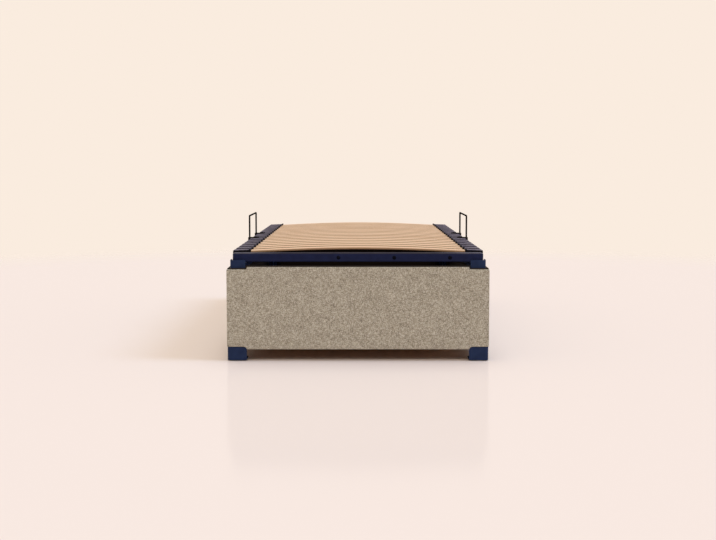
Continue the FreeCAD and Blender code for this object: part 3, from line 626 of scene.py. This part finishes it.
def coverMesh(name, halfSpan, corner, raised, place):
    shape = panelShape
    top = shape["top"] if raised else shape["top"] - shape["notchDepth"]
    bm = bmesh.new()
    loops = wrapLoops(bm, panelOutline(halfSpan, corner, raised))
    bridgeLoops(bm, loops)
    bm.faces.new(loops[-1])
    cutGrid(bm, halfSpan, top)
    mapCloth(bm, halfSpan, top)
    rippleCloth(bm, halfSpan, top, corner)
    for vert in bm.verts:
        vert.co = place(*vert.co)
    bm.normal_update()
    front = place(0, 0, 0) - place(0, 0, 1)
    largest = max(bm.faces, key=lambda face: face.calc_area())
    if largest.normal.dot(front) < 0:
        bmesh.ops.reverse_faces(bm, faces=bm.faces[:])
    return meshFrom(bm, name)


def thickened(piece, thickness):
    wall = piece.modifiers.new("clothThickness", "SOLIDIFY")
    wall.thickness = thickness
    wall.offset = -1
    thin = piece.data
    piece.data = evaluatedMesh(piece)
    piece.modifiers.clear()
    bpy.data.meshes.remove(thin)


outerX, outerY = panelShape["outerX"], panelShape["outerY"]
sideSpan = outerY - panelShape["thick"]
coverPlaces = {
    "foot": (outerX, outerX, True, lambda u, v, d: Vector((u, d - outerY, v))),
    "head": (outerX, outerX, True, lambda u, v, d: Vector((-u, outerY - d, v))),
    "left": (sideSpan, outerY, False, lambda u, v, d: Vector((d - outerX, -u, v))),
    "right": (sideSpan, outerY, False, lambda u, v, d: Vector((outerX - d, u, v))),
}
for name, (halfSpan, corner, raised, place) in coverPlaces.items():
    mesh = coverMesh(name + "Cloth", halfSpan, corner, raised, place)
    cover = newPiece(name + "Cloth", mesh, "box", "upholstery", name + "_cover")
    thickened(cover, panelShape["cloth"])
    tall = panelShape["top"] - panelShape["bottom"] - (0 if raised else panelShape["notchDepth"])
    tall += panelShape["thick"] + panelShape["topWrap"]
    print("cover:", name, len(cover.data.polygons), "faces")


# geometry node trees
def newTree(name, sockets):
    tree = bpy.data.node_groups.new(name, "GeometryNodeTree")
    tree.interface.new_socket("Geometry", in_out="INPUT", socket_type="NodeSocketGeometry")
    for label, kind in sockets:
        tree.interface.new_socket(label, in_out="INPUT", socket_type="NodeSocket" + kind)
    tree.interface.new_socket("Geometry", in_out="OUTPUT", socket_type="NodeSocketGeometry")
    start = tree.nodes.new("NodeGroupInput")
    end = tree.nodes.new("NodeGroupOutput")
    return tree, start.outputs, end.inputs


def endTree(tree, geometry, material, end):
    solid = geometryNode(tree, "RealizeInstances", {"Geometry": geometry}).outputs["Geometry"]
    dressed = geometryNode(tree, "SetMaterial", {"Geometry": solid, "Material": material})
    tree.links.new(dressed.outputs["Geometry"], end["Geometry"])


def baked(name, data, tree, values):
    source = bpy.data.objects.new(name, data)
    scene.collection.objects.link(source)
    modifier = source.modifiers.new(tree.name, "NODES")
    modifier.node_group = tree
    for item in tree.interface.items_tree:
        if item.in_out == "INPUT" and item.name in values:
            modifier[item.identifier] = values[item.name]
    mesh = evaluatedMesh(source)
    bpy.data.objects.remove(source)
    mesh.name = name
    return mesh


# one shape copied along the bed, each copy with its own tone
rowTree, rowIn, rowOut = newTree("rowAlongBed", [
    ("Count", "Int"), ("First", "Float"), ("Pitch", "Float"), ("Seed", "Int"), ("Finish", "Material")])
rowStart = shaderNode(rowTree, "CombineXYZ", {"Y": rowIn["First"]})
rowStep = shaderNode(rowTree, "CombineXYZ", {"Y": rowIn["Pitch"]})
rowPoints = geometryNode(rowTree, "MeshLine", {
    "Count": rowIn["Count"], "Start Location": rowStart.outputs["Vector"],
    "Offset": rowStep.outputs["Vector"]})
rowCopies = geometryNode(rowTree, "InstanceOnPoints", {
    "Points": rowPoints.outputs["Mesh"], "Instance": rowIn["Geometry"]})
rowTone = treeNode(rowTree, "FunctionNodeRandomValue", {"Seed": rowIn["Seed"]}, data_type="FLOAT")
rowTagged = geometryNode(rowTree, "StoreNamedAttribute", {
    "Geometry": rowCopies.outputs["Instances"], "Name": "slatTone", "Value": rowTone.outputs["Value"]},
    data_type="FLOAT", domain="INSTANCE")
endTree(rowTree, rowTagged.outputs["Geometry"], rowIn["Finish"], rowOut)

# a wire swept along a polyline with rounded bends
wireSteps = {"bend": 10, "round": 16}
wireTree, wireIn, wireOut = newTree("bentWire", [
    ("Radius", "Float"), ("Bend", "Float"), ("Finish", "Material")])
wireBends = geometryNode(wireTree, "FilletCurve", {
    "Curve": wireIn["Geometry"], "Radius": wireIn["Bend"], "Count": wireSteps["bend"]}, mode="POLY")
wireRound = geometryNode(wireTree, "CurvePrimitiveCircle", {
    "Resolution": wireSteps["round"], "Radius": wireIn["Radius"]})
wireTube = geometryNode(wireTree, "CurveToMesh", {
    "Curve": wireBends.outputs["Curve"], "Profile Curve": wireRound.outputs["Curve"], "Fill Caps": True})
wireSmooth = geometryNode(wireTree, "SetShadeSmooth", {"Geometry": wireTube.outputs["Mesh"]})
endTree(wireTree, wireSmooth.outputs["Geometry"], wireIn["Finish"], wireOut)

# a shape copied to every point, turned to the point's aim
spotTree, spotIn, spotOut = newTree("copiesOnSpots", [("Shape", "Object"), ("Finish", "Material")])
spotAim = geometryNode(spotTree, "InputNamedAttribute", {"Name": "aim"}, data_type="FLOAT_VECTOR")
spotTurn = treeNode(spotTree, "FunctionNodeAlignRotationToVector", {
    "Vector": spotAim.outputs["Attribute"]}, axis="Z")
spotShape = geometryNode(spotTree, "ObjectInfo", {"Object": spotIn["Shape"]})
spotCopies = geometryNode(spotTree, "InstanceOnPoints", {
    "Points": spotIn["Geometry"], "Instance": spotShape.outputs["Geometry"],
    "Rotation": spotTurn.outputs["Rotation"]})
endTree(spotTree, spotCopies.outputs["Instances"], spotIn["Finish"], spotOut)
print("node trees:", len(bpy.data.node_groups))


# bowed slats
slatShape = {
    "count": 18, "first": -0.944, "last": 0.944, "half": 0.4458, "width": 0.068, "thick": 0.0076,
    "bottom": 0.3868, "camber": 0.0126, "bowed": 0.395, "flatEnds": 1.2, "stations": 50, "seed": 11,
    "edge": 0.0025, "edgeSteps": 3, "plyBand": 0.6,  # share of the rounding that shows plies
}


def slatMesh():
    shape = slatShape
    bm = bmesh.new()
    plyLayer = bm.verts.layers.float.new("plyHeight")
    edgeLayer = bm.verts.layers.float.new("edgeMask")
    plyFrom = shape["width"] / 2 - shape["edge"] * shape["plyBand"]
    loops = []
    for i in range(shape["stations"] + 1):
        x = shape["half"] * (2 * i / shape["stations"] - 1)
        rise = shape["camber"] * max(0.0, 1 - (x / shape["bowed"]) ** 2) ** shape["flatEnds"]
        ring = []
        for y, z in roundedRect(shape["width"] / 2, 0, shape["thick"], shape["edge"], shape["edgeSteps"]):
            vert = bm.verts.new((x, y, shape["bottom"] + rise + z))
            vert[plyLayer] = z / shape["thick"]
            vert[edgeLayer] = 1.0 if abs(y) > plyFrom else 0.0
            ring.append(vert)
        loops.append(ring)
    closedTube(bm, loops)
    return outwardMesh(bm, "slatStrip")


slatPitch = (slatShape["last"] - slatShape["first"]) / (slatShape["count"] - 1)
rowValues = {"Count": slatShape["count"], "First": slatShape["first"], "Pitch": slatPitch}
slatRow = baked("slatRow", slatMesh(), rowTree, {
    **rowValues, "Seed": slatShape["seed"], "Finish": finishes["slat_wood"]})
slatNames = ["slat_%02d" % (i + 1) for i in range(slatShape["count"])]
newPiece("slats", slatRow, "deck", "slat_wood", *slatNames)
print("slats:", len(slatRow.polygons), "faces")


# moulded holders over the slat ends
holderShape = {
    "outer": 0.450, "inner": 0.388, "half": 0.037, "floor": 0.386, "roofOuter": 0.3957, "roofInner": 0.3978,
    "edge": 0.0022, "edgeSteps": 4, "rim": 0.0070, "seed": 5,
    "roundEnd": ((0, 0.75), (0.12, 0.3), (0.5, 0.06), (1, 0)),  # back and inset, as shares of the edge
    "roofBand": 0.4,  # share of the edge that still counts as roof
    "lip": 0.0045, "lipRise": 0.0006, "lipFirst": 0.8, "lipSoft": 0.0008, "lipProud": 0.0001,
    "mouthSoft": 0.0006,
    "slotHalf": 0.0342, "slotLow": 0.3867, "slotRoof": 0.0014, "slotEdge": 0.0015, "backWall": 0.004,
    "earIn": 0.0028, "earOut": 0.0052, "earDeep": 0.009, "earProud": 0.001, "earLow": 0.3915,
    "earRise": 0.0024, "earSoft": 0.0016, "earSteps": 3,
}


def roofAt(x):
    shape = holderShape
    share = (shape["outer"] - x) / (shape["outer"] - shape["inner"])
    return shape["roofOuter"] + (shape["roofInner"] - shape["roofOuter"]) * share


def holderRing(bm, x, half, low, high, radius, rimAt):
    steps = holderShape["edgeSteps"]
    points = roundedRect(half, low, high, radius, steps)
    points[steps + 1:steps + 1] = [Vector((rimAt, high)), Vector((-rimAt, high))]  # ends of the dark rims
    return [bm.verts.new((x, y, z)) for y, z in points]


def holderLoops(bm):
    shape = holderShape
    soft = shape["edge"]
    lip = shape["inner"] + shape["lip"]
    stations = []
    for back, inset in shape["roundEnd"]:
        stations.append((shape["outer"] - soft * back, -soft * inset, -soft * inset))
    stations += [
        (lip + shape["lipSoft"], 0, 0),
        (lip, shape["lipProud"], shape["lipRise"] * shape["lipFirst"]),
        (lip - shape["lipSoft"], shape["lipProud"], shape["lipRise"]),
        (shape["inner"] + shape["lipSoft"], shape["lipProud"], shape["lipRise"]),
        (shape["inner"], -shape["mouthSoft"], shape["lipRise"] - shape["mouthSoft"]),
    ]
    outside = []
    for x, grow, rise in stations:
        roof = roofAt(x) + rise
        rimAt = shape["half"] - shape["rim"]
        outside.append(holderRing(bm, x, shape["half"] + grow, shape["floor"], roof,
                                  soft + grow, rimAt))
    inside = []
    for x in (shape["inner"], shape["outer"] - shape["backWall"]):
        roof = roofAt(x) - shape["slotRoof"]
        rimAt = shape["slotHalf"] - shape["rim"]
        inside.append(holderRing(bm, x, shape["slotHalf"], shape["slotLow"], roof,
                                 shape["slotEdge"], rimAt))
    return outside, inside


def addEar(bm, end):
    shape = holderShape
    tall = shape["roofInner"] + shape["earRise"] - shape["earLow"]
    middle = (shape["inner"] + (shape["earOut"] - shape["earIn"]) / 2,
              end * (shape["half"] - shape["earDeep"] / 2 + shape["earProud"]), shape["earLow"] + tall / 2)
    size = (shape["earIn"] + shape["earOut"], shape["earDeep"], tall)
    placed = Matrix.Translation(middle) @ Matrix.Diagonal((*size, 1))
    ear = bmesh.ops.create_cube(bm, size=1.0, matrix=placed)["verts"]
    edges = [edge for edge in bm.edges if edge.verts[0] in ear]
    softened = bmesh.ops.bevel(bm, geom=edges, offset=shape["earSoft"], segments=shape["earSteps"],
                               profile=0.5, affect="EDGES")
    for face in softened["faces"]:
        face.smooth = True


def holderMesh(side):
    shape = holderShape
    bm = bmesh.new()
    roofLayer = bm.verts.layers.float.new("roofMask")
    outside, inside = holderLoops(bm)
    closedTube(bm, outside + inside, flat=range(len(outside) - 1, len(outside) + 1))  # mouth and slot
    # roofMask marks the roof faces that take the painted reflection; all other faces take the painted shade
    for vert in bm.verts:
        inward = (shape["half"] - abs(vert.co.y)) / shape["rim"]
        high = vert.co.z > roofAt(vert.co.x) - shape["edge"] * shape["roofBand"]
        vert[roofLayer] = min(1.0, max(0.0, inward)) if high else 0.0
    # the ears get no roof mask, so they take the near-black painted shade of the walls
    for end in (-1, 1):  # two ears hold the slat at the mouth
        addEar(bm, end)
    for vert in bm.verts:
        vert.co.x *= side
    return outwardMesh(bm, "slatCap")


sides = ((-1, "left"), (1, "right"))
for side, name in sides:
    caps = baked(name + "HolderRow", holderMesh(side), rowTree, {
        **rowValues, "Seed": holderShape["seed"], "Finish": finishes["holder_plastic"]})
    newPiece(name + "Holders", caps, "deck", "holder_plastic", name + "_slat_holders")
    print("holders:", name, len(caps.polygons), "faces")


# trim strip along the upper front edge of the foot rail; all of it takes the deck coat's painted highlight,
# the light strip along the rail
trimShape = {"middle": -0.9912, "half": 0.0076, "low": 0.3859, "high": 0.3894, "reach": 0.4440,
             "edge": 0.0014, "edgeSteps": 4, "ends": ((0.0, 0.0012), (0.0006, 0.0004), (0.0016, 0.0))}


def trimMesh():
    shape = trimShape
    bm = bmesh.new()
    left = [(inset - shape["reach"], shrink) for inset, shrink in shape["ends"]]
    loops = []
    for x, shrink in left + [(-x, shrink) for x, shrink in reversed(left)]:
        points = roundedRect(shape["half"] - shrink, shape["low"], shape["high"] - shrink,
                             shape["edge"], shape["edgeSteps"])
        loops.append([bm.verts.new((x, shape["middle"] + y, z)) for y, z in points])
    closedTube(bm, loops)
    return outwardMesh(bm, "footRailTrim")


newPiece("footRailTrim", trimMesh(), "deck", "navy_steel", finish=deckCoat)
print("foot rail trim set")


# wire hoops that keep the mattress in place
hoopShape = {"x": 0.4555, "near": -0.22206, "far": 0.11106, "low": 0.364, "top": 0.4895, "wire": 0.0035,
             "bend": 0.006}


def hoopPath(name, side):
    shape = hoopShape
    path = bpy.data.curves.new(name, "CURVE")
    path.dimensions = "3D"
    line = path.splines.new("POLY")
    near, far, low, top = (shape[key] for key in ("near", "far", "low", "top"))
    stops = [(near, low), (near, top), (far, top), (far, low)]
    line.points.add(len(stops) - 1)
    for point, (y, z) in zip(line.points, stops):
        point.co = (side * shape["x"], y, z, 1)
    return path


for side, name in sides:
    hoop = baked(name + "Hoop", hoopPath(name + "HoopPath", side), wireTree, {
        "Radius": hoopShape["wire"], "Bend": hoopShape["bend"], "Finish": finishes["black_wire"]})
    newPiece(name + "Hoop", hoop, "deck", "black_wire", name + "_mattress_hoop")
    print("hoop:", name, len(hoop.polygons), "faces")


# button-head bolts with a hexagon socket
boltShape = {"radius": 0.007, "height": 0.004, "seat": 0.97, "flat": 0.0030, "domeRings": 6,
             "segments": 24, "shank": 0.003, "grip": 0.010, "bevel": 0.0002,
             "socket": 0.0023, "socketSides": 6, "mouth": 1.08, "depth": 0.0020}
boltPlaces = {"railX": (-0.070, 0.130, 0.330), "railFace": -1.0, "railZ": 0.371,
              "clampX": 0.430, "clampTop": 0.400}


def boltRing(bm, z, radius, corners=None):
    count = boltShape["segments"]
    ring = []
    for i in range(count):
        angle = 2 * math.pi * i / count
        reach = radius
        if corners:  # a polygon inside the circle of that radius
            halfSide = math.pi / corners
            reach = radius * math.cos(halfSide) / math.cos(angle % (2 * halfSide) - halfSide)
        ring.append(bm.verts.new((reach * math.cos(angle), reach * math.sin(angle), z)))
    return ring


def boltMesh():
    shape = boltShape
    bm = bmesh.new()
    ball = (shape["radius"] ** 2 + shape["height"] ** 2) / (2 * shape["height"])
    sweep = math.asin(shape["radius"] / ball)
    flatSweep = math.asin(shape["flat"] / ball)
    loops = [boltRing(bm, -shape["grip"], shape["shank"]), boltRing(bm, 0, shape["shank"]),
             boltRing(bm, 0, shape["radius"] * shape["seat"])]
    domeFirst = len(loops)
    for k in range(shape["domeRings"]):
        angle = sweep + (flatSweep - sweep) * k / (shape["domeRings"] - 1)
        height = shape["height"] - ball + ball * math.cos(angle) + shape["bevel"]
        loops.append(boltRing(bm, height, ball * math.sin(angle)))
    domeLast = len(loops) - 1
    crown = shape["height"] - ball + ball * math.cos(flatSweep)
    loops.append(boltRing(bm, crown, shape["socket"] * shape["mouth"], shape["socketSides"]))
    loops.append(boltRing(bm, crown - shape["bevel"], shape["socket"], shape["socketSides"]))
    loops.append(boltRing(bm, crown - shape["depth"], shape["socket"], shape["socketSides"]))
    aroundDome = [k for k in range(len(loops)) if not domeFirst <= k < domeLast]
    closedTube(bm, loops, flat=aroundDome)
    return outwardMesh(bm, "boltHead")


def spotsMesh(name, spots):
    mesh = bpy.data.meshes.new(name)
    mesh.from_pydata([spot for spot, aim in spots], [], [])
    aims = mesh.attributes.new("aim", "FLOAT_VECTOR", "POINT")
    for item, (spot, aim) in zip(aims.data, spots):
        item.vector = aim
    return mesh


boltSpots = [((x, boltPlaces["railFace"], boltPlaces["railZ"]), (0, -1, 0)) for x in boltPlaces["railX"]]
boltSpots += [((side * boltPlaces["clampX"], y, boltPlaces["clampTop"]), (0, 0, 1))
              for side, name in sides for y in (hoopShape["near"], hoopShape["far"])]
boltSource = bpy.data.objects.new("boltSource", boltMesh())
bolts = baked("deckBolts", spotsMesh("boltSpots", boltSpots), spotTree, {
    "Shape": boltSource, "Finish": finishes["dark_bolt"]})
bpy.data.objects.remove(boltSource)
newPiece("deckBolts", bolts, "deck", "dark_bolt", "deck_bolts")
print("bolts:", len(boltSpots), "with", len(bolts.polygons), "faces")


# floor, background and light
stageLook = {
    "floor": (0.906, 0.785, 0.779), "roughness": 0.9, "mirror": 0.12, "mirrorBlur": 0.12,
    "fadeStart": 3.7, "fadeEnd": 5.2, "reach": 6.0, "rimPoints": 64,
    "back": (0.956, 0.839, 0.737), "fill": (1.0, 0.89, 0.70),
    "fillLow": 0.46, "fillHigh": 0.715, "fillTop": 0.8,
}


def makeFloor():
    look = stageLook
    material, tree, shader = newFinish("paleFloor", {
        "Base Color": opaque(look["floor"]), "Roughness": look["roughness"], "Specular IOR Level": 0.0})
    place = shaderNode(tree, "TexCoord").outputs["Object"]
    away = shaderNode(tree, "VectorMath", {0: place}, operation="LENGTH").outputs["Value"]
    fade = shaderNode(tree, "MapRange", {
        "Value": away, "From Min": look["fadeStart"], "From Max": look["fadeEnd"]},
        interpolation_type="SMOOTHSTEP").outputs["Result"]
    gloss = shaderNode(tree, "BsdfGlossy", {"Roughness": look["mirrorBlur"]})
    waxed = mixShader(tree, look["mirror"], shader, gloss)
    faded = mixShader(tree, fade, waxed, shaderNode(tree, "BsdfTransparent"))
    tree.links.new(faded.outputs[0], tree.nodes["Material Output"].inputs["Surface"])
    count = look["rimPoints"]
    rim = [(look["reach"] * math.cos(2 * math.pi * i / count),
            look["reach"] * math.sin(2 * math.pi * i / count), 0) for i in range(count)]
    mesh = bpy.data.meshes.new("paleFloor")
    mesh.from_pydata(rim, [], [list(range(count))])
    mesh.materials.append(material)
    floor = bpy.data.objects.new("paleFloor", mesh)
    scene.collection.objects.link(floor)


def makeWorld():
    look = stageLook
    world = bpy.data.worlds.new("studio")
    scene.world = world
    world.use_nodes = True
    tree = world.node_tree
    tree.nodes.clear()
    aim = shaderNode(tree, "TexCoord").outputs["Generated"]
    level = rescale(tree, axesOf(tree, aim)["Z"], 0.0, look["fillTop"], look["fillLow"], look["fillHigh"])
    light = shaderNode(tree, "Background", {"Color": opaque(look["fill"]), "Strength": level})
    shown = shaderNode(tree, "Background", {"Color": opaque(look["back"]), "Strength": 1.0})
    rays = shaderNode(tree, "LightPath").outputs
    seen = calc(tree, "MAXIMUM", rays["Is Camera Ray"], rays["Is Glossy Ray"])
    seen = calc(tree, "MAXIMUM", seen, rays["Is Transmission Ray"])
    out = shaderNode(tree, "OutputWorld")
    tree.links.new(mixShader(tree, seen, light, shown).outputs[0], out.inputs["Surface"])


lamps = {
    "topLamp": {"from": (0.03, 0.32, 1.0), "strength": 0.55, "spread": 40, "tint": (0.82, 0.97, 1.0)},
    "sideLamp": {"from": (0.95, -0.14, 1.0), "strength": 1.05, "spread": 26, "tint": (0.515, 0.762, 1.077)},
    "leftLamp": {"from": (-0.33, -0.58, 0.75), "strength": 0.08, "spread": 20, "tint": (1, 0.98, 0.94)},
    "frontLamp": {"from": (0.10, -1.0, 0.86), "strength": 0.62, "spread": 12, "tint": (1, 0.90, 0.74)},
}


def makeLamps():
    for name, lamp in lamps.items():
        data = bpy.data.lights.new(name, "SUN")
        data.energy = lamp["strength"]
        data.angle = math.radians(lamp["spread"])
        data.color = lamp["tint"]
        item = bpy.data.objects.new(name, data)
        item.rotation_euler = Vector(lamp["from"]).to_track_quat("Z", "Y").to_euler()
        scene.collection.objects.link(item)


cameraView = {"back": -5.4487, "height": 0.7027, "tilt": 4.833, "lens": 62.551, "sensor": 36}


def makeCamera():
    data = bpy.data.cameras.new("photoView")
    data.lens = cameraView["lens"]
    data.sensor_width = cameraView["sensor"]
    camera = bpy.data.objects.new("photoView", data)
    camera.location = (0, cameraView["back"], cameraView["height"])
    camera.rotation_euler = (math.radians(90 - cameraView["tilt"]), 0, 0)
    scene.collection.objects.link(camera)
    scene.camera = camera


makeFloor()
makeWorld()
makeLamps()
makeCamera()
print("stage, lamps and camera set")
